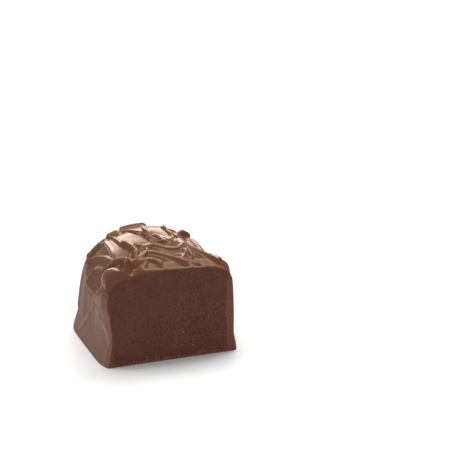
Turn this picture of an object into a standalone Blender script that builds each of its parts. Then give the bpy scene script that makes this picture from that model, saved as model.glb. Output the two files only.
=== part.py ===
"""A chocolate truffle, cut open at the front: a moulded milk chocolate coating round a ganache core.

The truffle stands on its base with the cut facing -Y. Its origin is at the middle of the base. Sizes
are in millimetres, and each mesh is scaled to metres once, where it is made.
"""

import math
import random
from dataclasses import dataclass

import bmesh
import bpy
import numpy as np

MM = 0.001
TINY = 1e-9

# The outside: a square plan with round corners, walls that lean in and a nearly flat top
HALF_WIDTH = 15.6
HALF_DEPTH = 14.7
TOP_HEIGHT = 23.8
FOOT_CORNER_POWER = 6.0
FRONT_CORNER_POWER = 5.5
BACK_CORNER_POWER = 2.2
SHOULDER_START = 10.0
FRONT_SHOULDER_POWER = 5.2
BACK_SHOULDER_POWER = 2.0
WALL_SHARE = 0.91
FOOT_HEIGHT = 4.4

# The front's square shoulder gives way to the back's round one between these slopes of direction to
# the front, which are steeper on the right
LEFT_FRONT_START = -1.0
LEFT_FRONT_END = 1.0
RIGHT_FRONT_START = 0.3
RIGHT_FRONT_END = 0.7

# The top leans: higher at the back than at the front, and a little higher at the left
BACK_LEAN = 2.2
LEFT_LEAN = 0.9

# The cut runs across the front, this far from the middle of the plan
CUT_DISTANCE = 12.5
CUT_MARGIN = 20.0

# The front is fuller above the foot, which keeps the cut's two sides upright
FRONT_FULLNESS = 5.0
FRONT_RISE = 10.0

# The coating is thick at the upper left of the cut, where the wall stands proud
BULGE = 1.3
BULGE_HEIGHT = 14.0
BULGE_RISE = 7.0
BULGE_LENGTH = 7.0
BULGE_BREADTH = 7.0

# The coating's thickness at the sides, floor and top, and the gap that parts it from the core
COAT_LEFT = 0.9
COAT_RIGHT = 1.4
COAT_BACK = 1.3
COAT_FLOOR = 0.7
COAT_TOP = 0.8
CORE_GAP = 0.3
CORE_FOOT_SHARE = 0.96

# Strands of drizzle fused to the top, in groups: half width, height and routes. Each route runs through
# points of the outside's flattened net: mm to the right and mm to the back of the middle of the top,
# where a point past the shoulder is on the wall
PLAIN_STRANDS = (
    ((-11.2, 8.0), (-9.9, 6.0), (-9.0, 4.2), (-8.3, 1.2), (-8.0, -0.9)),
    ((-1.9, -3.5), (-2.7, -4.9), (-3.8, -6.3), (-5.3, -7.5), (-7.3, -9.1)),
    ((-5.2, -3.2), (-4.4, -4.1), (-2.8, -3.9), (-2.0, -3.3)),
    ((-1.9, -3.3), (-1.1, -3.2), (-0.3, -3.6), (0.5, -4.2), (1.5, -4.7), (2.6, -4.8), (4.1, -4.8)),
    ((-2.3, -5.4), (-0.8, -6.0), (0.3, -6.9), (1.6, -7.9), (2.6, -8.7), (3.3, -9.8), (4.2, -11.6)),
    ((-7.0, -9.0), (-5.4, -8.3), (-3.9, -7.7), (-2.8, -7.7), (-1.9, -8.4), (-1.2, -10.0), (-0.4, -11.6)),
    ((6.4, 9.4), (5.3, 5.7), (4.5, 1.9), (4.5, -0.5), (3.9, -3.8)),
    ((5.7, -4.5), (6.9, -6.6), (8.3, -8.2), (9.5, -9.7), (11.2, -11.1), (12.2, -12.4)),
    ((5.1, -9.5), (6.1, -10.3), (7.4, -11.2), (8.8, -11.9)),
    ((-17.6, 7.4), (-15.6, 3.5), (-14.0, -0.7), (-12.7, -4.0), (-12.1, -6.0)),
    ((-11.8, 8.4), (-11.2, 4.2), (-10.9, 0.7), (-10.8, -2.3), (-11.1, -4.5)),
    ((-6.6, 15.5), (-3.2, 12.4), (2.0, 11.8), (5.2, 12.6), (9.0, 10.4), (13.6, 12.0)),
    ((-13.4, 13.0), (-9.0, 12.2), (-6.8, 14.4), (-6.0, 18.5)),
    ((8.8, 18.6), (10.6, 14.8), (9.0, 10.6)),
    ((17.6, 3.4), (14.6, 0.8), (12.4, 1.6)),
    ((18.4, -8.6), (15.0, -7.4), (12.2, -8.6)),
)
BOLD_STRANDS = (
    ((-7.4, -1.6), (-6.9, -3.0), (-6.4, -4.5), (-6.2, -6.1), (-6.0, -7.4)),
    ((12.4, 5.2), (12.7, 2.0), (12.3, -1.5), (11.9, -5.0), (11.7, -7.8), (12.0, -10.4)),
)
ROPES = (
    ((-12.6, -8.7), (-12.0, -8.3), (-11.1, -8.2), (-10.2, -8.6), (-9.4, -9.6), (-8.7, -11.2)),
    ((-11.2, 9.2), (-9.6, 10.2), (-7.4, 10.5), (-4.6, 10.6), (-2.0, 10.4), (0.4, 10.0)),
    ((10.6, 7.2), (11.9, 6.3)),
)
STRANDS = ((0.95, 0.7, PLAIN_STRANDS), (1.15, 0.95, BOLD_STRANDS), (1.3, 1.3, ROPES))

# Where the drizzle pooled at the back of the top: a low layer with a steep edge, over two routes
POOLS = ((4.6, ((-0.6, 9.6), (0.4, 5.8))), (3.1, ((0.6, 3.6), (1.4, -0.6))))
POOL_HEIGHT = 0.5
POOL_FLATNESS = 3.5

# Low creases on the left wall, by the same rule
CREASE_WIDTH = 0.7
CREASE_HEIGHT = 0.3
CREASE_ROUTES = (
    ((-14.3, -6.8), (-15.4, -3.3), (-16.4, -1.2), (-18.3, 1.3), (-20.2, 4.6), (-22.1, 6.6)),
    ((-22.1, 6.6), (-22.0, 0.2), (-21.8, -5.3)),
    ((-22.3, -5.4), (-24.8, -2.6), (-28.5, 3.7), (-31.6, 8.7), (-33.9, 12.4)),
    ((-22.3, -5.4), (-22.7, -9.0), (-22.8, -14.7), (-24.4, -19.1), (-26.5, -21.7), (-29.9, -24.8)),
    ((-21.8, -5.3), (-18.3, -10.5), (-15.9, -10.6), (-14.6, -9.7)),
)

# A lobe where the drizzle pooled on the left shoulder, its tail down the wall, and a hollow beside it.
# The cut goes through all three.
LOBE_WIDTH = 2.9
LOBE_HEIGHT = 2.2
LOBE_ROUTE = ((-13.8, -17.0), (-13.8, -14.5), (-13.9, -12.4))
TAIL_WIDTH = 3.2
TAIL_HEIGHT = 0.6
TAIL_ROUTE = ((-14.5, -14.4), (-16.4, -15.2), (-19.4, -17.4))
HOLLOW_WIDTH = 1.7
HOLLOW_DEPTH = 0.6
HOLLOW_ROUTE = ((-8.4, -15.0), (-8.2, -12.4), (-7.0, -9.6))

# The knife pressed the strands down: near the cut they keep this share of their height
PRESSED_SHARE = 0.3
PRESSED_LENGTH = 2.5

# Short drips from the top's rim, round the right side and the back
DRIP_COUNT = 17
DRIP_FIRST = -38.0
DRIP_LAST = 158.0
DRIP_RIM = 12.5
DRIP_LENGTH = 6.0
DRIP_WIDTH = 1.0
DRIP_HEIGHT = 0.55

# Soft upright flutes on the walls, between the smooth band at the foot and the shoulder
FLUTE_HEIGHT = 0.22
FLUTE_WAVES = range(11, 34, 2)
FLUTE_BOTTOM = 4.2
FLUTE_TOP = 18.0
FLUTE_FADE = 1.6
FLUTE_LEFT_SHARE = 0.15

SEED = 5
ROUTE_STEPS = 8

# How finely the forms are gridded, and the share of the outside's faces that are kept
OUTSIDE_GRID = 62
CORE_GRID = 11
KEPT_FACES = 0.2
PROFILE_STEPS = 1500

# Middle of the plan, measured from the origin, which is the middle of what the cut leaves
PLAN_Y = (CUT_DISTANCE - HALF_DEPTH) / 2


@dataclass(frozen=True)
class Form:
    """A rounded block, in millimetres. Shares are parts of the plan's half sizes."""

    half_width: float
    half_depth: float
    floor: float
    top: float
    shoulder_start: float
    wall_share: float
    foot_share: float
    middle_x: float
    front_rise: float


OUTSIDE = Form(
    half_width=HALF_WIDTH,
    half_depth=HALF_DEPTH,
    floor=0.0,
    top=TOP_HEIGHT,
    shoulder_start=SHOULDER_START,
    wall_share=WALL_SHARE,
    foot_share=1.0,
    middle_x=0.0,
    front_rise=FRONT_RISE,
)


def inner_form(inset):
    """The outside drawn in by the coating, and by a further inset."""
    return Form(
        half_width=HALF_WIDTH * WALL_SHARE - (COAT_LEFT + COAT_RIGHT) / 2 - inset,
        half_depth=HALF_DEPTH * WALL_SHARE - COAT_BACK - inset,
        floor=COAT_FLOOR + inset,
        top=TOP_HEIGHT - COAT_TOP - inset,
        shoulder_start=SHOULDER_START,
        wall_share=1.0,
        foot_share=CORE_FOOT_SHARE,
        middle_x=(COAT_LEFT - COAT_RIGHT) / 2,
        front_rise=COAT_FLOOR,
    )


def ease(share):
    """A smooth step from 0 to 1."""
    share = np.clip(share, 0.0, 1.0)
    return share * share * (3 - 2 * share)


def frontness(across, back):
    """How far a direction from the middle points to the front, from 0 to 1, sooner on the left."""
    size = np.hypot(across, back) + TINY
    right = ease(across / size / 0.6 + 0.5)
    start = RIGHT_FRONT_START * right + LEFT_FRONT_START * (1 - right)
    end = RIGHT_FRONT_END * right + LEFT_FRONT_END * (1 - right)
    return ease((-back / size - start) / (end - start))


def profile(form, shoulder_power):
    """Share of the plan and height, from the middle of the top down to the foot, evenly spaced."""
    turn = np.linspace(math.pi / 2, 0.0, PROFILE_STEPS)
    rise = form.top - form.shoulder_start
    share_top = form.wall_share * np.cos(turn) ** (2 / shoulder_power)
    height_top = form.shoulder_start + rise * np.sin(turn) ** (2 / shoulder_power)
    height_wall = np.linspace(form.shoulder_start, form.floor, PROFILE_STEPS)[1:]
    flare = np.exp(-(((height_wall - form.floor) / FOOT_HEIGHT) ** 1.7))
    share_wall = form.wall_share + (form.foot_share - form.wall_share) * flare
    share = np.concatenate((share_top, share_wall))
    height = np.concatenate((height_top, height_wall))
    steps = np.hypot(np.diff(share) * form.half_width, np.diff(height))
    length = np.concatenate(([0.0], np.cumsum(steps)))
    even = np.linspace(0.0, length[-1], PROFILE_STEPS)
    return np.interp(even, length, share), np.interp(even, length, height), length[-1]


def plan_point(form, across, back, share, height):
    """The point of a level's outline in the direction (across, back), drawn in by a share."""
    fullness = FRONT_FULLNESS * ease(height / form.front_rise)
    half_depth = np.where(back < 0, form.half_depth + fullness, form.half_depth)
    top_power = BACK_CORNER_POWER + (FRONT_CORNER_POWER - BACK_CORNER_POWER) * frontness(across, back)
    power = FOOT_CORNER_POWER + (top_power - FOOT_CORNER_POWER) * ease(height / form.top)
    size = np.hypot(across, back) + TINY
    along_x = np.abs(across / size / form.half_width) ** power
    along_y = np.abs(back / size / half_depth) ** power
    radius = share * (along_x + along_y) ** (-1 / power)
    x = form.middle_x + radius * across / size
    y = PLAN_Y + radius * back / size
    from_cut = (y - (PLAN_Y - CUT_DISTANCE)) / BULGE_LENGTH
    from_wall = (x + HALF_WIDTH) / BULGE_BREADTH
    from_middle = (height - BULGE_HEIGHT) / BULGE_RISE
    x = x - BULGE * np.exp(-(from_cut**2) - from_wall**2 - from_middle**2)
    lean = BACK_LEAN * (y - PLAN_Y) / HALF_DEPTH - LEFT_LEAN * x / HALF_WIDTH
    return np.stack((x, y, height + lean * ease(height / form.top)), axis=-1)


def on_surface(form, net):
    """Points on the form for points of its flattened net, measured in mm from the middle of the top."""
    reach = np.max(np.abs(net), axis=-1)
    along = np.clip(reach / net_reach(form), 0.0, 1.0) * (PROFILE_STEPS - 1)
    index = np.arange(PROFILE_STEPS)
    front = frontness(net[..., 0], net[..., 1])
    share = 0.0
    height = 0.0
    for power, weight in ((FRONT_SHOULDER_POWER, front), (BACK_SHOULDER_POWER, 1 - front)):
        level_share, level_height, _ = profile(form, power)
        share = share + weight * np.interp(along, index, level_share)
        height = height + weight * np.interp(along, index, level_height)
    return plan_point(form, net[..., 0], net[..., 1], share, height)


def net_reach(form):
    """How far the flattened net reaches from the middle of the top to the foot."""
    return profile(form, FRONT_SHOULDER_POWER)[2]


def net_direction(degrees, reach):
    """The net's point in a direction from the middle, at a reach."""
    across = math.cos(math.radians(degrees))
    back = math.sin(math.radians(degrees))
    size = max(abs(across), abs(back))
    return (reach * across / size, reach * back / size)


def drip_routes(draw):
    """Short runs of drizzle over the rim, evenly round the right and the back but of uneven length."""
    routes = []
    for middle in np.linspace(DRIP_FIRST, DRIP_LAST, DRIP_COUNT):
        start = middle + draw.uniform(-4.0, 4.0)
        end = start + draw.uniform(-5.0, 5.0)
        reach = DRIP_RIM + DRIP_LENGTH * draw.uniform(0.5, 1.2)
        bend = (start + 2 * end) / 3
        way = ((start, DRIP_RIM), (bend, (DRIP_RIM + reach) / 2), (end, reach))
        routes.append([net_direction(degrees, distance) for degrees, distance in way])
    return routes


def flutes(points, draw):
    """The height of the flutes over each point: uneven waves round the walls."""
    turn = np.arctan2(points[:, 1] - PLAN_Y, points[:, 0])
    wave = np.zeros(len(points))
    for count in FLUTE_WAVES:
        wave += np.cos(count * turn + draw.uniform(0.0, math.tau)) / math.sqrt(len(FLUTE_WAVES))
    above_band = ease((points[:, 2] - FLUTE_BOTTOM) / FLUTE_FADE)
    below_rim = ease((FLUTE_TOP - points[:, 2]) / FLUTE_FADE)
    on_left = ease(-points[:, 0] / HALF_WIDTH / 0.8) * ease((HALF_DEPTH / 2 - points[:, 1]) / HALF_DEPTH * 2)
    return FLUTE_HEIGHT * wave * above_band * below_rim * (1 - (1 - FLUTE_LEFT_SHARE) * on_left)


def smooth_route(points):
    """A Catmull-Rom curve through a route's points."""
    knots = np.array([points[0], *points, points[-1]], dtype=float)
    share = np.linspace(0.0, 1.0, ROUTE_STEPS, endpoint=False)[:, None]
    runs = []
    for before, start, end, after in zip(knots, knots[1:], knots[2:], knots[3:]):
        bend = 2 * before - 5 * start + 4 * end - after
        twist = 3 * (start - end) + after - before
        runs.append(start + 0.5 * share * (end - before + share * (bend + share * twist)))
    return np.concatenate((*runs, knots[-1:]))


def ridge(points, route, width, height, flatness=1.0):
    """How far a ridge along a route lifts each point. Above a flatness of 1 it has a level top."""
    line = on_surface(OUTSIDE, smooth_route(route))
    lift = np.zeros(len(points))
    near = np.all((points > line.min(axis=0) - width) & (points < line.max(axis=0) + width), axis=1)
    close = points[near]
    distance = np.full(len(close), np.inf)
    for start, end in zip(line, line[1:]):
        run = end - start
        share = np.clip((close - start) @ run / (run @ run + TINY), 0.0, 1.0)[:, None]
        distance = np.minimum(distance, np.linalg.norm(close - start - share * run, axis=1))
    lift[near] = height * np.clip(flatness * (1 - (distance / width) ** 2), 0.0, 1.0)
    return lift


def relief(points):
    """The height of the drizzle, its pool, creases, lobe, hollow and flutes over each point outside."""
    draw = random.Random(SEED)
    lift = np.zeros(len(points))
    for width, height, routes in STRANDS:
        for route in routes:
            lift = np.maximum(lift, ridge(points, route, width, height))
    for route in drip_routes(draw):
        lift = np.maximum(lift, ridge(points, route, DRIP_WIDTH, DRIP_HEIGHT))
    pool = np.zeros(len(points))
    for width, route in POOLS:
        pool = np.maximum(pool, ridge(points, route, width, POOL_HEIGHT, POOL_FLATNESS))
    lift = lift + pool
    from_cut = points[:, 1] - PLAN_Y + CUT_DISTANCE
    lift = lift * (PRESSED_SHARE + (1 - PRESSED_SHARE) * ease(from_cut / PRESSED_LENGTH))
    for route in CREASE_ROUTES:
        lift = np.maximum(lift, ridge(points, route, CREASE_WIDTH, CREASE_HEIGHT))
    lift = np.maximum(lift, ridge(points, LOBE_ROUTE, LOBE_WIDTH, LOBE_HEIGHT))
    lift = np.maximum(lift, ridge(points, TAIL_ROUTE, TAIL_WIDTH, TAIL_HEIGHT))
    lift = lift - ridge(points, HOLLOW_ROUTE, HOLLOW_WIDTH, HOLLOW_DEPTH)
    return lift + flutes(points, draw)


def form_bmesh(form, cuts):
    """The form as a gridded cube whose top, sides and floor are laid on the form."""
    shape = bmesh.new()
    bmesh.ops.create_cube(shape, size=2.0)
    bmesh.ops.subdivide_edges(shape, edges=shape.edges[:], cuts=cuts, use_grid_fill=True)
    cube = np.array([vert.co[:] for vert in shape.verts])
    length = net_reach(form)
    rim = form.half_width * form.wall_share
    reach = np.max(np.abs(cube[:, :2]), axis=1, keepdims=True) + TINY
    down = (1 - cube[:, 2:]) / 2
    net = np.where(down > 0, cube[:, :2] / reach * (rim + down * (length - rim)), cube[:, :2] * rim)
    points = on_surface(form, net)
    under = cube[:, 2] < -1 + 1e-6
    share = form.foot_share * reach[:, 0]
    floor = plan_point(form, cube[:, 0], cube[:, 1], share, np.full(len(cube), form.floor))
    points[under] = floor[under]
    for vert, point in zip(shape.verts, points):
        vert.co = point
    shape.normal_update()
    return shape


def add_mesh(name, shape, material, collection):
    """A smooth-shaded object made from a bmesh in millimetres."""
    bmesh.ops.scale(shape, vec=(MM, MM, MM), verts=shape.verts)
    mesh = bpy.data.meshes.new(name)
    shape.to_mesh(mesh)
    shape.free()
    mesh.shade_smooth()
    mesh.materials.append(material)
    item = bpy.data.objects.new(name, mesh)
    collection.objects.link(item)
    return item


def outside_shape():
    """The coating's outside, with its strands and creases."""
    shape = form_bmesh(OUTSIDE, OUTSIDE_GRID)
    points = np.array([vert.co[:] for vert in shape.verts])
    for vert, lift in zip(shape.verts, relief(points)):
        vert.co += vert.normal * lift
    return shape


def add_box(name, low, high, collection):
    """A cutter box between two corners, in millimetres."""
    shape = bmesh.new()
    bmesh.ops.create_cube(shape, size=1.0)
    size = [(top - bottom) * MM for bottom, top in zip(low, high)]
    middle = [(top + bottom) / 2 * MM for bottom, top in zip(low, high)]
    bmesh.ops.scale(shape, vec=size, verts=shape.verts)
    mesh = bpy.data.meshes.new(name)
    shape.to_mesh(mesh)
    shape.free()
    item = bpy.data.objects.new(name, mesh)
    item.location = middle
    collection.objects.link(item)
    hide(item)
    return item


def hide(cutter):
    """Marks a cutter, so that it shows as a wire only."""
    cutter.hide_render = True
    cutter.display_type = "WIRE"


def cut_away(item, cutter):
    """Takes the cutter's volume out of an item."""
    boolean = item.modifiers.new(f"less_{cutter.name}", "BOOLEAN")
    boolean.operation = "DIFFERENCE"
    boolean.object = cutter


def make_material(name, colour, roughness):
    """A plain chocolate material."""
    material = bpy.data.materials.new(name)
    material.use_nodes = True
    shader = material.node_tree.nodes["Principled BSDF"]
    shader.inputs["Base Color"].default_value = (*colour, 1.0)
    shader.inputs["Roughness"].default_value = roughness
    shader.inputs["Metallic"].default_value = 0.0
    return material


def new_collection(name):
    """A collection in the scene."""
    collection = bpy.data.collections.new(name)
    bpy.context.scene.collection.children.link(collection)
    return collection


def main():
    """Builds the coating and the core."""
    for item in list(bpy.data.objects):
        bpy.data.objects.remove(item)
    parts = new_collection("chocolate_truffle")
    cutters = new_collection("cutters")
    milk = make_material("milk_chocolate", (0.24, 0.13, 0.075), 0.35)
    dark = make_material("ganache", (0.08, 0.033, 0.023), 0.7)

    front = PLAN_Y - CUT_DISTANCE
    reach = CUT_MARGIN + HALF_WIDTH
    low = (-reach, front - CUT_MARGIN, -CUT_MARGIN)
    high = (reach, front, TOP_HEIGHT + CUT_MARGIN)
    front_box = add_box("front_cutter", low, high, cutters)

    coating = add_mesh("coating", outside_shape(), milk, parts)
    decimate = coating.modifiers.new("fewer_faces", "DECIMATE")
    decimate.ratio = KEPT_FACES
    cut_away(coating, front_box)
    hollow = add_mesh("hollow_cutter", form_bmesh(inner_form(0.0), CORE_GRID), dark, cutters)
    hide(hollow)
    cut_away(coating, hollow)

    core = add_mesh("ganache", form_bmesh(inner_form(CORE_GAP), CORE_GRID), dark, parts)
    cut_away(core, front_box)


if __name__ == "__main__":
    main()
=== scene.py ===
"""The looks of a cut chocolate truffle: a moulded milk chocolate shell with drizzle, and its ganache.

The shell and the ganache are built here as fine meshes that stand for the frame's two plain solids.
Lengths are in millimetres until a mesh is made, which scales them to metres once. The cut faces -Y.
"""

import logging
import math
import random
from dataclasses import dataclass, field
from enum import Enum

import bmesh
import bpy
import numpy as np
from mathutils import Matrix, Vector, noise


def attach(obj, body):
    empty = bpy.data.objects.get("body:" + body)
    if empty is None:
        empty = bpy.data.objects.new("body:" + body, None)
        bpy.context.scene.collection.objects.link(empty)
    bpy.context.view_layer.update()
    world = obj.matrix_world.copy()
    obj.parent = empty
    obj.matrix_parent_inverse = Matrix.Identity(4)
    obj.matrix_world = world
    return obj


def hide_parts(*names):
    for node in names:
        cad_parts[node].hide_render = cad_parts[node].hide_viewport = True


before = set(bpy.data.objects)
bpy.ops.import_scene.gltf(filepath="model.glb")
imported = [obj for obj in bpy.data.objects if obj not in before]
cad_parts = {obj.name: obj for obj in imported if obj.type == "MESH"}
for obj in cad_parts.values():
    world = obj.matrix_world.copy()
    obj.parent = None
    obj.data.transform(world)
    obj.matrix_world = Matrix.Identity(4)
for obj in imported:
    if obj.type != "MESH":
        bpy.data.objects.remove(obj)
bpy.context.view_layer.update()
LOG = logging.getLogger("truffle")

MM = 0.001
TINY = 1e-9
CLOSE = 1e-7
MIX = "ShaderNodeMix"
NOISE = "ShaderNodeTexNoise"
RANGE = "ShaderNodeMapRange"
BUMP = "ShaderNodeBump"
# The mix node's sockets by number, because their names repeat
FACTOR, LEVEL_A, LEVEL_B, COLOUR_A, COLOUR_B = 0, 2, 3, 6, 7
LEVEL_OUT, COLOUR_OUT = 0, 2


class Hue(Enum):
    """The object's colours, as sRGB hex values."""

    MILK_WALL = "#715145"
    MILK_STREAK = "#6c4d41"
    MILK_TOP = "#643f2a"
    # Painted shade on the wall under the drizzle's overhang and on the slope above it
    MILK_PAINTED_SHADE = "#5f4030"
    # Painted highlight on the left wall's creases and on its edge at the cut
    MILK_PAINTED_HIGHLIGHT = "#a08578"
    MILK_CUT = "#623b2f"
    GANACHE = "#58352a"
    # Painted shade in the ganache's pits
    GANACHE_PIT_SHADE = "#2a1510"
    GANACHE_GRAIN = "#805a4a"
    CRUMB = "#7d5747"
    SHEEN = "#ffe2c4"
    FLOOR = "#f0f2f4"
    WARM = "#ffead6"
    WARM_WHITE = "#fffcf8"
    WHITE = "#ffffff"


class Region(Enum):
    """The parts of the shell's surface that look different, as values of its attribute."""

    OUTSIDE = 0.0
    CUT = 1.0


def linear(hue: Hue) -> tuple[float, float, float, float]:
    """Turns a hex colour from sRGB to linear.

    Args:
        hue: The colour.

    Returns:
        Its linear red, green and blue, and an alpha of 1.
    """
    digits = hue.value.lstrip("#")
    parts = [int(digits[at : at + 2], 16) / 255 for at in (0, 2, 4)]
    flat = [part / 12.92 if part <= 0.04045 else ((part + 0.055) / 1.055) ** 2.4 for part in parts]
    return (flat[0], flat[1], flat[2], 1.0)


def ease(share: np.ndarray) -> np.ndarray:
    """A smooth step from 0 to 1."""
    share = np.clip(share, 0.0, 1.0)
    return share * share * (3 - 2 * share)


def noise_at(points: np.ndarray, size: float, octaves: int = 1) -> np.ndarray:
    """Smooth noise at each point.

    Args:
        points: The points, in mm.
        size: The size of the noise's patches, in mm.
        octaves: How many layers of finer noise are summed.

    Returns:
        A value from about -1 to 1 for each point.
    """
    if octaves == 1:
        return np.array([noise.noise(Vector(point) / size) for point in points])
    return np.array([noise.fractal(Vector(point) / size, 1.0, 2.0, octaves) for point in points])


@dataclass(frozen=True)
class Block:
    """A rounded block: a square plan with round corners, walls that lean in and a nearly flat top.

    Corners and shoulders are powers of a superellipse, so a larger one is squarer. The plan's shares are
    1 at the widest foot. Directions count as front between the two values of left_front and right_front.
    """

    half_width: float = 15.6
    half_depth: float = 14.7
    floor: float = 0.0
    top: float = 23.8
    shoulder_start: float = 10.0
    wall_share: float = 0.91
    foot_share: float = 1.0
    middle_x: float = 0.0
    front_rise: float = 10.0
    foot_height: float = 4.4
    foot_curve: float = 1.7
    foot_corner: float = 6.0
    front_corner: float = 5.5
    back_corner: float = 2.2
    front_shoulder: float = 5.2
    back_shoulder: float = 2.0
    left_front: tuple[float, float] = (-1.0, 1.0)
    right_front: tuple[float, float] = (0.3, 0.7)
    side_change: float = 0.6
    back_lean: float = 2.2
    left_lean: float = 0.9
    cut_distance: float = 12.5
    front_fullness: float = 5.0
    bulge: float = 1.3
    bulge_height: float = 14.0
    bulge_reach: float = 7.0
    outer_half_width: float = 15.6
    outer_half_depth: float = 14.7
    steps: int = 1500

    @property
    def plan_y(self) -> float:
        """The plan's middle, measured from the origin."""
        return (self.cut_distance - self.outer_half_depth) / 2

    @property
    def cut_y(self) -> float:
        """Where the cut is."""
        return self.plan_y - self.cut_distance

    def frontness(self, across: np.ndarray, back: np.ndarray) -> np.ndarray:
        """How far a direction from the middle points to the front, from 0 to 1, sooner on the left."""
        size = np.hypot(across, back) + TINY
        right = ease(across / size / self.side_change + 0.5)
        start = self.right_front[0] * right + self.left_front[0] * (1 - right)
        end = self.right_front[1] * right + self.left_front[1] * (1 - right)
        return ease((-back / size - start) / (end - start))

    def profile(self, shoulder: float) -> tuple[np.ndarray, np.ndarray, float]:
        """The outline from the middle of the top down to the foot.

        Args:
            shoulder: How square the shoulder is.

        Returns:
            The share of the plan and the height at even steps, and the outline's length.
        """
        turn = np.linspace(math.pi / 2, 0.0, self.steps)
        rise = self.top - self.shoulder_start
        share_top = self.wall_share * np.cos(turn) ** (2 / shoulder)
        height_top = self.shoulder_start + rise * np.sin(turn) ** (2 / shoulder)
        height_wall = np.linspace(self.shoulder_start, self.floor, self.steps)[1:]
        flare = np.exp(-(((height_wall - self.floor) / self.foot_height) ** self.foot_curve))
        share_wall = self.wall_share + (self.foot_share - self.wall_share) * flare
        share = np.concatenate((share_top, share_wall))
        height = np.concatenate((height_top, height_wall))
        steps = np.hypot(np.diff(share) * self.half_width, np.diff(height))
        length = np.concatenate(([0.0], np.cumsum(steps)))
        even = np.linspace(0.0, length[-1], self.steps)
        return np.interp(even, length, share), np.interp(even, length, height), float(length[-1])

    @property
    def reach(self) -> float:
        """How far the flattened net reaches from the middle of the top to the foot."""
        return self.profile(self.front_shoulder)[2]

    def plan_point(
        self, across: np.ndarray, back: np.ndarray, share: np.ndarray, height: np.ndarray
    ) -> np.ndarray:
        """Points of the outlines at given heights.

        Args:
            across: The direction from the middle, to the right.
            back: The same direction, to the back.
            share: How far out each point is, as a share of the plan.
            height: The height of each point's outline.

        Returns:
            The points, one to a row.
        """
        fullness = self.front_fullness * ease(height / self.front_rise)
        half_depth = np.where(back < 0, self.half_depth + fullness, self.half_depth)
        front = self.frontness(across, back)
        top_corner = self.back_corner + (self.front_corner - self.back_corner) * front
        power = self.foot_corner + (top_corner - self.foot_corner) * ease(height / self.top)
        size = np.hypot(across, back) + TINY
        along_x = np.abs(across / size / self.half_width) ** power
        along_y = np.abs(back / size / half_depth) ** power
        radius = share * (along_x + along_y) ** (-1 / power)
        x = self.middle_x + radius * across / size
        y = self.plan_y + radius * back / size
        from_cut = (y - self.cut_y) / self.bulge_reach
        from_wall = (x + self.outer_half_width) / self.bulge_reach
        from_middle = (height - self.bulge_height) / self.bulge_reach
        x = x - self.bulge * np.exp(-(from_cut**2) - from_wall**2 - from_middle**2)
        lean_back = self.back_lean * (y - self.plan_y) / self.outer_half_depth
        lean = lean_back - self.left_lean * x / self.outer_half_width
        return np.stack((x, y, height + lean * ease(height / self.top)), axis=-1)

    def on_surface(self, net: np.ndarray) -> np.ndarray:
        """Lays points of the block's flattened net on it.

        Args:
            net: Points in mm to the right and to the back of the middle of the top.

        Returns:
            The points on the block, one to a row.
        """
        reach = np.max(np.abs(net), axis=-1)
        along = np.clip(reach / self.reach, 0.0, 1.0) * (self.steps - 1)
        index = np.arange(self.steps)
        front = self.frontness(net[..., 0], net[..., 1])
        share = np.zeros(reach.shape)
        height = np.zeros(reach.shape)
        for power, weight in ((self.front_shoulder, front), (self.back_shoulder, 1 - front)):
            level_share, level_height, _ = self.profile(power)
            share = share + weight * np.interp(along, index, level_share)
            height = height + weight * np.interp(along, index, level_height)
        return self.plan_point(net[..., 0], net[..., 1], share, height)

    def mesh(self, cuts: int) -> bmesh.types.BMesh:
        """The block as a gridded cube whose top, sides and floor are laid on its form.

        Args:
            cuts: The number of cuts along each of the cube's edges.

        Returns:
            The mesh, in mm.
        """
        shape = bmesh.new()
        bmesh.ops.create_cube(shape, size=2.0)
        bmesh.ops.subdivide_edges(shape, edges=shape.edges[:], cuts=cuts, use_grid_fill=True)
        cube = np.array([vert.co[:] for vert in shape.verts])
        rim = self.half_width * self.wall_share
        reach = np.max(np.abs(cube[:, :2]), axis=1, keepdims=True) + TINY
        down = (1 - cube[:, 2:]) / 2
        on_wall = cube[:, :2] / reach * (rim + down * (self.reach - rim))
        points = self.on_surface(np.where(down > 0, on_wall, cube[:, :2] * rim))
        under = cube[:, 2] < CLOSE - 1
        share = self.foot_share * reach[:, 0]
        level = np.full(len(cube), self.floor)
        points[under] = self.plan_point(cube[:, 0], cube[:, 1], share, level)[under]
        for vert, point in zip(shape.verts, points):
            vert.co = point
        shape.normal_update()
        return shape


OUTSIDE = Block()
Route = tuple[tuple[float, float], ...]


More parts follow.
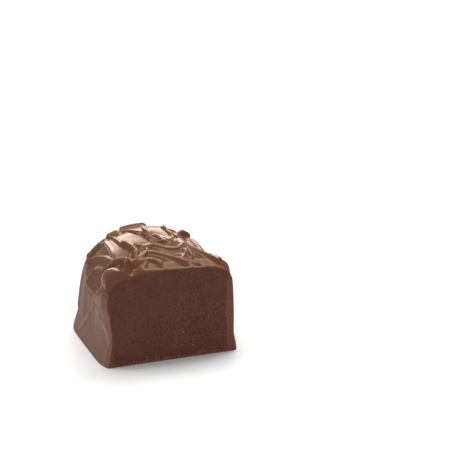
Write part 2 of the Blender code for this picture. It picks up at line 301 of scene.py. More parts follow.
@dataclass(frozen=True)
class Ridge:
    """A raised line on the shell, along a route on the flattened net."""

    route: Route
    half_width: float
    height: float
    blunt: float = 1.0
    flatness: float = 1.0
    uneven: float = 0.0
    uneven_size: float = 4.0
    steps: int = 8

    def line(self) -> np.ndarray:
        """The route as a smooth curve laid on the shell."""
        knots = np.array([self.route[0], *self.route, self.route[-1]], dtype=float)
        share = np.linspace(0.0, 1.0, self.steps, endpoint=False)[:, None]
        runs = []
        for before, start, end, after in zip(knots, knots[1:], knots[2:], knots[3:]):
            bend = 2 * before - 5 * start + 4 * end - after
            twist = 3 * (start - end) + after - before
            runs.append(start + 0.5 * share * (end - before + share * (bend + share * twist)))
        return OUTSIDE.on_surface(np.concatenate((*runs, knots[-1:])))

    def lift(self, points: np.ndarray) -> np.ndarray:
        """How far the ridge lifts each point.

        Args:
            points: Points on the shell, in mm.

        Returns:
            The lift of each point, in mm.
        """
        line = self.line()
        lift = np.zeros(len(points))
        low = line.min(axis=0) - self.half_width
        high = line.max(axis=0) + self.half_width
        near = np.all((points > low) & (points < high), axis=1)
        close = points[near]
        distance = np.full(len(close), np.inf)
        for start, end in zip(line, line[1:]):
            run = end - start
            share = np.clip((close - start) @ run / (run @ run + TINY), 0.0, 1.0)[:, None]
            distance = np.minimum(distance, np.linalg.norm(close - start - share * run, axis=1))
        thick = 1.0
        if self.uneven and len(close):
            thick = 1 - self.uneven * (0.5 + noise_at(close, self.uneven_size))
        arch = np.clip(self.flatness * (1 - (distance / self.half_width / thick) ** 2), 0.0, 1.0)
        lift[near] = self.height * thick * arch**self.blunt
        return lift


@dataclass(frozen=True)
class Strands:
    """Strands of one thickness, with their routes on the flattened net."""

    half_width: float
    height: float
    routes: tuple[Route, ...]


# The strands that the photograph shows, and then others like them at the back and on the right
FINE = Strands(
    half_width=0.65,
    height=0.4,
    routes=(
        ((-11.8, 8.4), (-11.2, 4.2), (-10.9, 0.7), (-10.8, -2.3), (-11.1, -4.5)),
        ((-0.6, 7.4), (-1.1, 5.2), (-1.7, 1.7)),
        ((-11.2, 8.0), (-9.9, 6.0), (-9.0, 4.2), (-8.3, 1.2), (-8.0, -0.9)),
        ((0.2, -0.4), (0.6, -1.2), (0.9, -2.6)),
        ((-0.4, -4.9), (0.6, -5.7), (1.4, -6.4), (2.5, -6.8)),
        ((4.2, -5.7), (3.2, -7.3), (2.2, -7.9)),
        ((5.4, -5.9), (4.7, -6.6), (4.4, -8.0)),
        ((-11.9, -6.7), (-13.0, -7.4), (-14.0, -7.8)),
        ((-4.0, -8.2), (-4.3, -9.3), (-4.3, -11.2)),
        ((6.1, 3.1), (6.1, 1.0)),
        ((5.2, -1.2), (4.9, -4.6), (5.8, -5.4)),
    ),
)
PLAIN = Strands(
    half_width=0.85,
    height=0.6,
    routes=(
        ((-1.9, -3.5), (-2.7, -4.9), (-3.8, -6.3), (-5.3, -7.5), (-7.3, -9.1)),
        ((-5.2, -3.2), (-4.4, -4.1), (-2.8, -3.9), (-2.0, -3.3)),
        ((-1.9, -3.3), (-1.1, -3.2), (-0.3, -3.6), (0.5, -4.2), (1.5, -4.7), (2.6, -4.8), (4.1, -4.8)),
        ((-2.3, -5.4), (-0.8, -6.0), (0.3, -6.9), (1.6, -7.9), (2.6, -8.7), (3.3, -9.8), (4.2, -11.6)),
        ((-7.0, -9.0), (-5.4, -8.3), (-3.9, -7.7), (-2.8, -7.7), (-1.9, -8.4), (-1.2, -10.0), (-0.4, -11.6)),
        ((6.4, 9.4), (5.3, 5.7), (4.5, 1.9), (4.5, -0.5), (3.9, -3.8)),
        ((5.7, -4.5), (6.9, -6.6), (8.3, -8.2), (9.5, -9.7), (11.2, -11.1), (12.2, -12.4)),
        ((5.1, -9.5), (6.1, -10.3), (7.4, -11.2), (8.8, -11.9)),
        ((-17.6, 7.4), (-15.6, 3.5), (-14.0, -0.7), (-12.7, -4.0), (-12.1, -6.0)),
        ((-6.6, 15.5), (-3.2, 12.4), (2.0, 11.8), (5.2, 12.6), (9.0, 10.4), (13.6, 12.0)),
        ((-13.4, 13.0), (-9.0, 12.2), (-6.8, 14.4), (-6.0, 18.5)),
        ((8.8, 18.6), (10.6, 14.8), (9.0, 10.6)),
        ((17.6, 3.4), (14.6, 0.8), (12.4, 1.6)),
        ((18.4, -8.6), (15.0, -7.4), (12.2, -8.6)),
    ),
)
BOLD = Strands(
    half_width=1.15,
    height=0.9,
    routes=(
        ((-7.4, -1.6), (-6.9, -3.0), (-6.4, -4.5), (-6.2, -6.1), (-6.0, -7.4)),
        ((12.4, 5.2), (12.7, 2.0), (12.3, -1.5), (11.9, -5.0), (11.7, -7.8), (12.0, -10.4)),
    ),
)
ROPE = Strands(
    half_width=1.3,
    height=1.25,
    routes=(
        ((-12.6, -8.7), (-12.0, -8.3), (-11.1, -8.2), (-10.2, -8.6), (-9.4, -9.6), (-8.7, -11.2)),
        ((-11.2, 9.2), (-9.6, 10.2), (-7.4, 10.5), (-4.6, 10.6), (-2.0, 10.4), (0.4, 10.0)),
    ),
)
BLOB = Strands(half_width=1.25, height=1.6, routes=(((10.8, 7.0), (11.9, 6.3)),))
# Thick drizzle along the right shoulder, which makes its outline fuller
SHOULDER = Strands(
    half_width=2.6,
    height=1.1,
    routes=(
        ((13.8, -16.6), (13.8, -13.6), (13.7, -10.0)),
        ((13.8, -4.5), (13.7, -1.5), (13.4, 1.5), (12.9, 4.6)),
    ),
)


@dataclass(frozen=True)
class Relief:
    """All that stands on the shell: strands, pools, drips, the lobe over the cut, creases and flutes.

    The wall under the lobe is dented, and the knife pressed the strands down and drew the edges in. The
    patch and the brow are laid on like ridges, but what they add is painted shade and a duller finish.
    """

    strands: tuple[Strands, ...] = (FINE, PLAIN, BOLD, ROPE, BLOB, SHOULDER)
    strand_blunt: float = 1.4
    strand_uneven: float = 0.2
    pools: tuple[Ridge, ...] = (
        Ridge(((-0.6, 9.6), (0.4, 5.8)), half_width=4.6, height=0.5, flatness=3.5),
        Ridge(((0.6, 3.6), (1.4, -0.6)), half_width=3.1, height=0.5, flatness=3.5),
    )
    dent: Ridge = Ridge(
        ((-17.2, -7.2), (-18.9, -3.4), (-20.9, 2.4)), half_width=2.4, height=0.5, blunt=0.6
    )
    crease_half_width: float = 0.45
    crease_height: float = 0.3
    creases: tuple[Route, ...] = (
        (
            (-14.3, -6.8),
            (-15.4, -3.3),
            (-16.4, -1.2),
            (-18.3, 1.3),
            (-20.2, 4.6),
            (-22.1, 6.6),
            (-22.0, 0.2),
            (-21.8, -5.3),
        ),
        ((-24.2, -4.8), (-26.0, -1.2), (-28.5, 3.2), (-31.2, 8.2), (-33.6, 12.4)),
        ((-24.0, -6.8), (-23.6, -11.0), (-24.4, -16.6), (-26.0, -20.6), (-29.9, -24.8)),
        ((-21.8, -5.3), (-18.3, -10.5), (-15.9, -10.6), (-14.6, -9.7)),
    )
    lobe: Ridge = Ridge(((-13.8, -17.0), (-13.8, -14.5), (-13.9, -12.4)), half_width=2.9, height=2.2)
    tail: Ridge = Ridge(((-14.5, -14.4), (-16.4, -15.2), (-19.4, -17.4)), half_width=3.2, height=0.6)
    hollow: Ridge = Ridge(((-8.4, -15.0), (-8.2, -12.4), (-7.0, -9.6)), half_width=1.7, height=1.1)
    pressed_share: float = 0.2
    pressed_length: float = 2.5
    sunk_depth: float = 0.5
    sunk_length: float = 1.4
    sunk_right: float = -8.0
    sunk_fade: float = 3.0
    top_from: float = 18.0
    top_fade: float = 2.5
    left_fade: float = 12.0
    turned_depth: float = 0.9
    turned_length: float = 1.0
    turned_height: float = 8.0
    turned_top: float = 20.0
    turned_fade: float = 3.0
    # Painted highlights: pale lines on the creases and along the wall's left edge next to the cut
    highlight_from_cut: float = 1.5
    highlight_width: float = 0.3
    highlight_edge: float = 0.35
    highlight_top: float = 17.0
    highlight_fade: float = 4.0
    highlight_sharpness: float = 1.5
    highlight_patch: float = 2.2
    highlight_mean: float = 0.65
    highlight_change: float = 1.5
    highlight_least: float = 0.15
    highlight_strength: float = 0.7
    # Painted shade: the patch darkens and dulls the dented wall under the drizzle's overhang, the brow the
    # slope above it
    patch: Ridge = Ridge(((-16.2, -9.4), (-18.0, -6.0), (-20.6, 1.4)), half_width=3.2, height=1.8)
    brow: Ridge = Ridge(
        ((-17.6, 5.0), (-15.8, 1.0), (-14.6, -3.2), (-13.8, -6.2)), half_width=2.4, height=0.8
    )
    drip_count: int = 17
    drip_first: float = -38.0
    drip_last: float = 158.0
    drip_rim: float = 12.5
    drip_length: float = 6.0
    drip_lengths: tuple[float, float] = (0.5, 1.2)
    drip_apart: float = 4.0
    drip_lean: float = 5.0
    drip_half_width: float = 0.95
    drip_height: float = 0.55
    flute_height: float = 0.22
    flute_waves: range = range(11, 34, 2)
    flute_bottom: float = 4.2
    flute_top: float = 18.0
    flute_fade: float = 1.6
    flute_left_share: float = 0.05
    flute_left_fade: float = 0.8
    seed: int = 5

    @staticmethod
    def net_direction(degrees: float, reach: float) -> tuple[float, float]:
        """The net's point in a direction from the middle, at a reach."""
        across = math.cos(math.radians(degrees))
        back = math.sin(math.radians(degrees))
        size = max(abs(across), abs(back))
        return (reach * across / size, reach * back / size)

    def drips(self, draw: random.Random) -> list[Route]:
        """Short runs over the rim, evenly round the right and the back but of uneven length.

        Args:
            draw: The seeded source of chance.

        Returns:
            The routes of the drips.
        """
        routes = []
        for middle in np.linspace(self.drip_first, self.drip_last, self.drip_count):
            start = middle + draw.uniform(-self.drip_apart, self.drip_apart)
            end = start + draw.uniform(-self.drip_lean, self.drip_lean)
            reach = self.drip_rim + self.drip_length * draw.uniform(*self.drip_lengths)
            bend = self.net_direction((start + 2 * end) / 3, (self.drip_rim + reach) / 2)
            routes.append((self.net_direction(start, self.drip_rim), bend, self.net_direction(end, reach)))
        return routes

    def flutes(self, points: np.ndarray, draw: random.Random) -> np.ndarray:
        """The height of the flutes: uneven waves round the walls.

        Args:
            points: Points on the shell, in mm.
            draw: The seeded source of chance.

        Returns:
            The height over each point, in mm.
        """
        turn = np.arctan2(points[:, 1] - OUTSIDE.plan_y, points[:, 0])
        wave = np.zeros(len(points))
        for count in self.flute_waves:
            wave += np.cos(count * turn + draw.uniform(0.0, math.tau)) / math.sqrt(len(self.flute_waves))
        above_band = ease((points[:, 2] - self.flute_bottom) / self.flute_fade)
        below_rim = ease((self.flute_top - points[:, 2]) / self.flute_fade)
        on_left = ease(-points[:, 0] / OUTSIDE.half_width / self.flute_left_fade)
        on_left = on_left * ease(1 - 2 * points[:, 1] / OUTSIDE.half_depth)
        share = 1 - (1 - self.flute_left_share) * on_left
        return self.flute_height * wave * above_band * below_rim * share

    def drizzle(self, points: np.ndarray, draw: random.Random) -> np.ndarray:
        """The height of the strands, drips and pools, which the knife pressed down near the cut.

        Args:
            points: Points on the shell, in mm.
            draw: The seeded source of chance.

        Returns:
            The height over each point, in mm.
        """
        strands = [
            Ridge(route, kind.half_width, kind.height, self.strand_blunt, uneven=self.strand_uneven)
            for kind in self.strands
            for route in kind.routes
        ]
        for route in self.drips(draw):
            strands.append(Ridge(route, self.drip_half_width, self.drip_height, self.strand_blunt))
        lift = np.zeros(len(points))
        for ridge in strands:
            lift = np.maximum(lift, ridge.lift(points))
        pooled = np.zeros(len(points))
        for pool in self.pools:
            pooled = np.maximum(pooled, pool.lift(points))
        free = ease((points[:, 1] - OUTSIDE.cut_y) / self.pressed_length)
        return (lift + pooled) * (self.pressed_share + (1 - self.pressed_share) * free)

    def drawn_in(self, points: np.ndarray) -> np.ndarray:
        """How far the knife drew in the shell's top and its left edge at the cut, in mm."""
        from_cut = points[:, 1] - OUTSIDE.cut_y
        on_top = ease((points[:, 2] - self.top_from) / self.top_fade)
        on_top = on_top * ease((points[:, 0] - self.sunk_right) / self.sunk_fade)
        on_left = ease(points[:, 2] / self.turned_height) * ease(-points[:, 0] / self.left_fade)
        on_left = on_left * (1 - on_top) * ease((self.turned_top - points[:, 2]) / self.turned_fade)
        sunk = self.sunk_depth * on_top * np.exp(-((from_cut / self.sunk_length) ** 2))
        return sunk + self.turned_depth * on_left * np.exp(-((from_cut / self.turned_length) ** 2))

    def lift(self, points: np.ndarray) -> np.ndarray:
        """The height of all the relief over each point of the shell."""
        draw = random.Random(self.seed)
        lift = self.drizzle(points, draw) - self.dent.lift(points)
        creases = [Ridge(route, self.crease_half_width, self.crease_height) for route in self.creases]
        for ridge in (*creases, self.lobe, self.tail):
            lift = np.maximum(lift, ridge.lift(points))
        return lift - self.hollow.lift(points) - self.drawn_in(points) + self.flutes(points, draw)

    def shade(self, points: np.ndarray) -> np.ndarray:
        """How much painted shade each point has, from 0 to 1: the wall under the drizzle's overhang and the
        slope above it are painted darker, and are made dull.
        """
        return np.clip(np.maximum(self.patch.lift(points), self.brow.lift(points)), 0.0, 1.0)

    def painted_highlight(self, points: np.ndarray) -> np.ndarray:
        """How much painted highlight each point has, from 0 to 1: sharp creases and the left wall's edge at
        the cut are painted pale as highlights.
        """
        highlit = np.zeros(len(points))
        for route in self.creases:
            crease = Ridge(route, self.crease_half_width, 1.0).lift(points)
            highlit = np.maximum(highlit, crease**self.highlight_sharpness)
        from_cut = points[:, 1] - OUTSIDE.cut_y
        edge = np.exp(-(((from_cut - self.highlight_from_cut) / self.highlight_width) ** 2))
        edge = edge * ease(-points[:, 0] / self.left_fade)
        edge = edge * ease((self.highlight_top - points[:, 2]) / self.highlight_fade)
        patchy = self.highlight_mean + self.highlight_change * noise_at(points, self.highlight_patch)
        patchy = np.clip(patchy, self.highlight_least, 1.0)
        return self.highlight_strength * patchy * np.maximum(highlit, self.highlight_edge * edge)


@dataclass(frozen=True)
class CoreOutline:
    """Where the ganache meets the shell at the cut, as a radius for each direction in the cut.

    Directions are degrees from the right, seen from the front. The fullness is added to the radius.
    """

    middle_z: float = 11.0
    coat_left: float = 0.9
    coat_right: float = 1.4
    coat_back: float = 1.3
    coat_floor: float = 0.7
    coat_top: float = 0.8
    foot_share: float = 0.96
    back_power: float = 3.0
    last_share: float = 0.999
    grid: int = 40
    thinnest: float = 0.3
    narrowing: float = 0.5
    fullness: tuple[tuple[float, float], ...] = (
        (-148, 0.9),
        (-130, 0.0),
        (-60, 0.0),
        (-38, 0.5),
        (-8, -0.4),
        (20, 0.1),
        (36, 2.0),
        (60, 0.1),
        (110, 0.0),
        (137, -0.9),
        (156, 1.0),
        (175, -0.1),
        (192, 0.0),
    )

    def block(self) -> Block:
        """The form of the hollow in the shell."""
        outer = OUTSIDE
        return Block(
            half_width=outer.half_width * outer.wall_share - (self.coat_left + self.coat_right) / 2,
            half_depth=outer.half_depth * outer.wall_share - self.coat_back,
            floor=self.coat_floor,
            top=outer.top - self.coat_top,
            wall_share=1.0,
            foot_share=self.foot_share,
            middle_x=(self.coat_left - self.coat_right) / 2,
            front_rise=self.coat_floor,
        )

    def hollow(self, turns: np.ndarray) -> np.ndarray:
        """The radius of the shell's hollow behind the cut, in each direction in radians."""
        shape = self.block().mesh(self.grid)
        at, radius = polar(cut_open(shape, OUTSIDE.cut_y), self.middle_z)
        shape.free()
        return np.interp(turns, at, radius - self.narrowing, period=math.tau)

    def radii(self, turns: np.ndarray, outer: np.ndarray) -> np.ndarray:
        """The ganache's radius in the cut, where it fills the corners more squarely than behind it.

        Args:
            turns: Directions from the middle, in radians.
            outer: The shell's outer radius in each direction, in mm.

        Returns:
            The radius in each direction, in mm.
        """
        knots = np.array(self.fullness)
        extra = np.interp(turns, np.radians(knots[:, 0]), knots[:, 1], period=math.tau)
        return np.minimum(self.hollow(turns) + self.narrowing + extra, outer - self.thinnest)

    @property
    def depth(self) -> float:
        """How far the ganache runs back from the cut."""
        return OUTSIDE.cut_distance + OUTSIDE.half_depth * OUTSIDE.wall_share - self.coat_back

    def ring(self, turns: np.ndarray, radii: np.ndarray, share: float, depth: float) -> list[Vector]:
        """A ring of points behind the cut, which closes in to the back.

        Args:
            turns: The direction of each point, in radians.
            radii: Its radius at the cut, in mm.
            share: How far back the ring is, from 0 to 1.
            depth: How far back the last ring is, in mm.

        Returns:
            The ring's points.
        """
        scale = (1 - min(share, self.last_share) ** self.back_power) ** (1 / self.back_power)
        y = OUTSIDE.cut_y + depth * share
        return [
            Vector((out * math.cos(turn), y, self.middle_z + out * math.sin(turn)))
            for turn, out in zip(turns, radii * scale)
        ]


def polar(loop: list[bmesh.types.BMVert], middle_z: float) -> tuple[np.ndarray, np.ndarray]:
    """Directions and radii of a loop's points in the cut.

    Args:
        loop: The loop's vertices.
        middle_z: The height of the middle that they are seen from.

    Returns:
        The direction of each point in radians and its radius in mm.
    """
    x = np.array([vert.co.x for vert in loop])
    z = np.array([vert.co.z - middle_z for vert in loop])
    return np.arctan2(z, x), np.hypot(x, z)


def cut_open(shape: bmesh.types.BMesh, cut_y: float) -> list[bmesh.types.BMVert]:
    """Takes off what lies in front of the cut, and finds the open edge.

    Args:
        shape: The closed mesh, in mm.
        cut_y: Where the cut is.

    Returns:
        The open edge's vertices, in order.
    """
    geometry = shape.verts[:] + shape.edges[:] + shape.faces[:]
    bmesh.ops.bisect_plane(
        shape, geom=geometry, dist=TINY, plane_co=(0, cut_y, 0), plane_no=(0, -1, 0), clear_outer=True
    )
    edge = next(edge for edge in shape.edges if edge.is_boundary)
    first, here = edge.verts
    loop = [first]
    while here != first:
        loop.append(here)
        edge = next(other for other in here.link_edges if other.is_boundary and other != edge)
        here = edge.other_vert(here)
    return loop


def join_rings(
    shape: bmesh.types.BMesh, near: list[bmesh.types.BMVert], far: list[bmesh.types.BMVert]
) -> None:
    """Fills the band between two rings of vertices.

    Args:
        shape: The mesh.
        near: The first ring.
        far: The second ring, which has as many vertices.
    """
    for at in range(len(near)):
        after = (at + 1) % len(near)
        shape.faces.new((near[at], near[after], far[after], far[at]))


def add_piece(name: str, shape: bmesh.types.BMesh, node: str | None) -> bpy.types.Object:
    """Makes a mesh object of a bmesh in mm, and hangs it on the frame.

    Args:
        name: The piece's name.
        shape: The mesh, which is used up.
        node: The frame's node that the piece stands for, if any.

    Returns:
        The new object.
    """
    bmesh.ops.recalc_face_normals(shape, faces=shape.faces)
    bmesh.ops.scale(shape, vec=(MM, MM, MM), verts=shape.verts)
    mesh = bpy.data.meshes.new(name)
    shape.to_mesh(mesh)
    shape.free()
    mesh.shade_smooth()
    piece = bpy.data.objects.new(name, mesh)
    bpy.context.scene.collection.objects.link(piece)
    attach(piece, "root")
    if node:
        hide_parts(node)
    LOG.info("%s: %d vertices", name, len(mesh.vertices))
    return piece


def new_material(name: str, values: dict) -> tuple[bpy.types.Material, bpy.types.Node]:
    """Makes a material whose shader has some plain values.

    Args:
        name: The material's name.
        values: The value of each of the shader's inputs that is the same all over.

    Returns:
        The material and its shader.
    """
    material = bpy.data.materials.new(name)
    material.use_nodes = True
    shader = material.node_tree.nodes["Principled BSDF"]
    for socket, value in values.items():
        shader.inputs[socket].default_value = value
    return material, shader


def add_node(
    tree: bpy.types.NodeTree, kind: str, settings: dict | None = None, links: dict | None = None
) -> bpy.types.Node:
    """Adds a node with its settings and links.

    Args:
        tree: The material's node tree.
        kind: The node's type name.
        settings: Values for its attributes, or for its inputs where no attribute has that name.
        links: The output socket that feeds each of its inputs.

    Returns:
        The new node.
    """
    node = tree.nodes.new(kind)
    for name, value in (settings or {}).items():
        if isinstance(name, str) and hasattr(node, name):
            setattr(node, name, value)
        else:
            node.inputs[name].default_value = value
    for name, source in (links or {}).items():
        tree.links.new(source, node.inputs[name])
    return node


@dataclass(frozen=True)
class MilkChocolate:
    """Milk chocolate, set in a mould and drizzled.

    The mould leaves the walls satin with faint upright streaks. The drizzle set in air, which leaves the
    top glossy. The knife leaves the cut dull, and drags the ganache's colour over it. The grain of the
    fat is finer than 0.25 mm, and is drawn that coarse so that it shows.
    """

    name: str = "milk_chocolate"
    wall_roughness: float = 0.6
    top_roughness: float = 0.21
    dull_roughness: float = 0.95
    cut_roughness: float = 0.7
    brown_from: tuple[float, float] = (14.8, 17.6)
    gloss_from: tuple[float, float] = (17.5, 20.5)
    streak_width: float = 0.7
    streak_height: float = 9.0
    streak_range: tuple[float, float] = (0.36, 0.56)
    mottle_size: float = 3.0
    mottle_range: tuple[float, float] = (0.3, 0.65)
    mottle_level: float = 0.88
    grain_size: float = 0.25
    grain_depth: float = 0.04
    grain_strength: float = 0.18
    specular_level: float = 0.3
    ior: float = 1.5

    def build(self) -> bpy.types.Material:
        """Makes the material."""
        values = {
            "IOR": self.ior,
            "Specular IOR Level": self.specular_level,
            "Specular Tint": linear(Hue.SHEEN),
        }
        material, shader = new_material(self.name, values)
        tree = material.node_tree
        place = add_node(tree, "ShaderNodeTexCoord").outputs["Object"]
        across = 1 / MM / self.streak_width
        upward = 1 / MM / self.streak_height
        stretched = add_node(
            tree, "ShaderNodeMapping", {"Scale": (across, across, upward)}, {"Vector": place}
        ).outputs["Vector"]
        streaks = add_node(tree, NOISE, {"Scale": 1.0, "Detail": 2.0}, {"Vector": stretched}).outputs["Fac"]
        mottle, grain = (
            add_node(tree, NOISE, {"Scale": 1 / MM / size, "Detail": 3.0}, {"Vector": place}).outputs["Fac"]
            for size in (self.mottle_size, self.grain_size)
        )
        streaky, level = (
            add_node(
                tree, RANGE, {"From Min": low, "From Max": high, "To Min": least}, {"Value": source}
            ).outputs["Result"]
            for (low, high), least, source in (
                (self.streak_range, 0.0, streaks),
                (self.mottle_range, self.mottle_level, mottle),
            )
        )
        height = add_node(tree, "ShaderNodeSeparateXYZ", links={"Vector": place}).outputs["Z"]
        brown, glossy = (
            add_node(
                tree,
                RANGE,
                {"From Min": low * MM, "From Max": high * MM, "interpolation_type": "SMOOTHSTEP"},
                {"Value": height},
            ).outputs["Result"]
            for low, high in (self.brown_from, self.gloss_from)
        )
        cut, shade, smear, painted_highlight = (
            add_node(tree, "ShaderNodeAttribute", {"attribute_name": name}).outputs["Fac"]
            for name in ("cut", "shade", "smear", "painted_highlight")
        )
        wall = add_node(
            tree,
            MIX,
            {"data_type": "RGBA", COLOUR_A: linear(Hue.MILK_STREAK), COLOUR_B: linear(Hue.MILK_WALL)},
            {FACTOR: streaky},
        ).outputs[COLOUR_OUT]
        outside = add_node(
            tree, MIX, {"data_type": "RGBA", COLOUR_B: linear(Hue.MILK_TOP)}, {FACTOR: brown, COLOUR_A: wall}
        ).outputs[COLOUR_OUT]
        colour = add_node(
            tree,
            MIX,
            {"data_type": "RGBA", "blend_type": "MULTIPLY", FACTOR: 1.0},
            {COLOUR_A: outside, COLOUR_B: level},
        ).outputs[COLOUR_OUT]
        # Painted shade under the drizzle's overhang, then painted highlights on the creases and the left edge
        # at the cut
        for hue, mark in ((Hue.MILK_PAINTED_SHADE, shade), (Hue.MILK_PAINTED_HIGHLIGHT, painted_highlight)):
            colour = add_node(
                tree, MIX, {"data_type": "RGBA", COLOUR_B: linear(hue)}, {FACTOR: mark, COLOUR_A: colour}
            ).outputs[COLOUR_OUT]
        knifed = add_node(
            tree,
            MIX,
            {"data_type": "RGBA", COLOUR_A: linear(Hue.MILK_CUT), COLOUR_B: linear(Hue.GANACHE)},
            {FACTOR: smear},
        ).outputs[COLOUR_OUT]
        colour = add_node(
            tree, MIX, {"data_type": "RGBA"}, {FACTOR: cut, COLOUR_A: colour, COLOUR_B: knifed}
        ).outputs[COLOUR_OUT]
        roughness = add_node(
            tree, RANGE, {"To Min": self.wall_roughness, "To Max": self.top_roughness}, {"Value": glossy}
        ).outputs["Result"]
        for level, mark in ((self.dull_roughness, shade), (self.cut_roughness, cut)):
            roughness = add_node(
                tree, MIX, {LEVEL_B: level}, {FACTOR: mark, LEVEL_A: roughness}
            ).outputs[LEVEL_OUT]
        bump = add_node(
            tree,
            BUMP,
            {"Strength": self.grain_strength, "Distance": self.grain_depth * MM},
            {"Height": grain},
        )
        tree.links.new(colour, shader.inputs["Base Color"])
        tree.links.new(roughness, shader.inputs["Roughness"])
        tree.links.new(bump.outputs["Normal"], shader.inputs["Normal"])
        return material


@dataclass(frozen=True)
class Ganache:
    """Ganache, cut with a knife.

    Its cocoa solids and fat scatter light, so it is matt. The knife tears it into fine grain and pits, and
    the pits' shade is painted darker.
    The real grain is under 0.1 mm, and is drawn coarser so that it shows.
    """

    name: str = "ganache"
    roughness: float = 0.75
    specular_level: float = 0.15
    grain_size: float = 0.22
    grain_level: float = 0.72
    grain_depth: float = 0.06
    grain_strength: float = 0.5
    patch_size: float = 4.0
    patch_level: float = 0.88
    noise_range: tuple[float, float] = (0.3, 0.62)
    ior: float = 1.46

    def build(self) -> bpy.types.Material:
        """Makes the material."""
        values = {
            "Roughness": self.roughness,
            "Specular IOR Level": self.specular_level,
            "IOR": self.ior,
        }
        material, shader = new_material(self.name, values)
        tree = material.node_tree
        place = add_node(tree, "ShaderNodeTexCoord").outputs["Object"]
        grain, patch = (
            add_node(
                tree, NOISE, {"Scale": 1 / MM / size, "Detail": detail}, {"Vector": place}
            ).outputs["Fac"]
            for size, detail in ((self.grain_size, 4.0), (self.patch_size, 2.0))
        )
        pit_shade, pale = (
            add_node(tree, "ShaderNodeAttribute", {"attribute_name": name}).outputs["Fac"]
            for name in ("pit_shade", "pale")
        )
        low, high = self.noise_range
        fine, broad = (
            add_node(
                tree, RANGE, {"From Min": low, "From Max": high, "To Min": least}, {"Value": source}
            ).outputs["Result"]
            for source, least in ((grain, self.grain_level), (patch, self.patch_level))
        )
        level = add_node(tree, "ShaderNodeMath", {"operation": "MULTIPLY"}, {0: fine, 1: broad}).outputs[0]
        colour = add_node(
            tree,
            MIX,
            {"data_type": "RGBA", "blend_type": "MULTIPLY", FACTOR: 1.0, COLOUR_A: linear(Hue.GANACHE)},
            {COLOUR_B: level},
        ).outputs[COLOUR_OUT]
        # Painted shade in the pits, then the pale grains
        for hue, mark in ((Hue.GANACHE_PIT_SHADE, pit_shade), (Hue.GANACHE_GRAIN, pale)):
            colour = add_node(
                tree, MIX, {"data_type": "RGBA", COLOUR_B: linear(hue)}, {FACTOR: mark, COLOUR_A: colour}
            ).outputs[COLOUR_OUT]
        bump = add_node(
            tree,
            BUMP,
            {"Strength": self.grain_strength, "Distance": self.grain_depth * MM},
            {"Height": grain},
        )
        tree.links.new(colour, shader.inputs["Base Color"])
        tree.links.new(bump.outputs["Normal"], shader.inputs["Normal"])
        return material


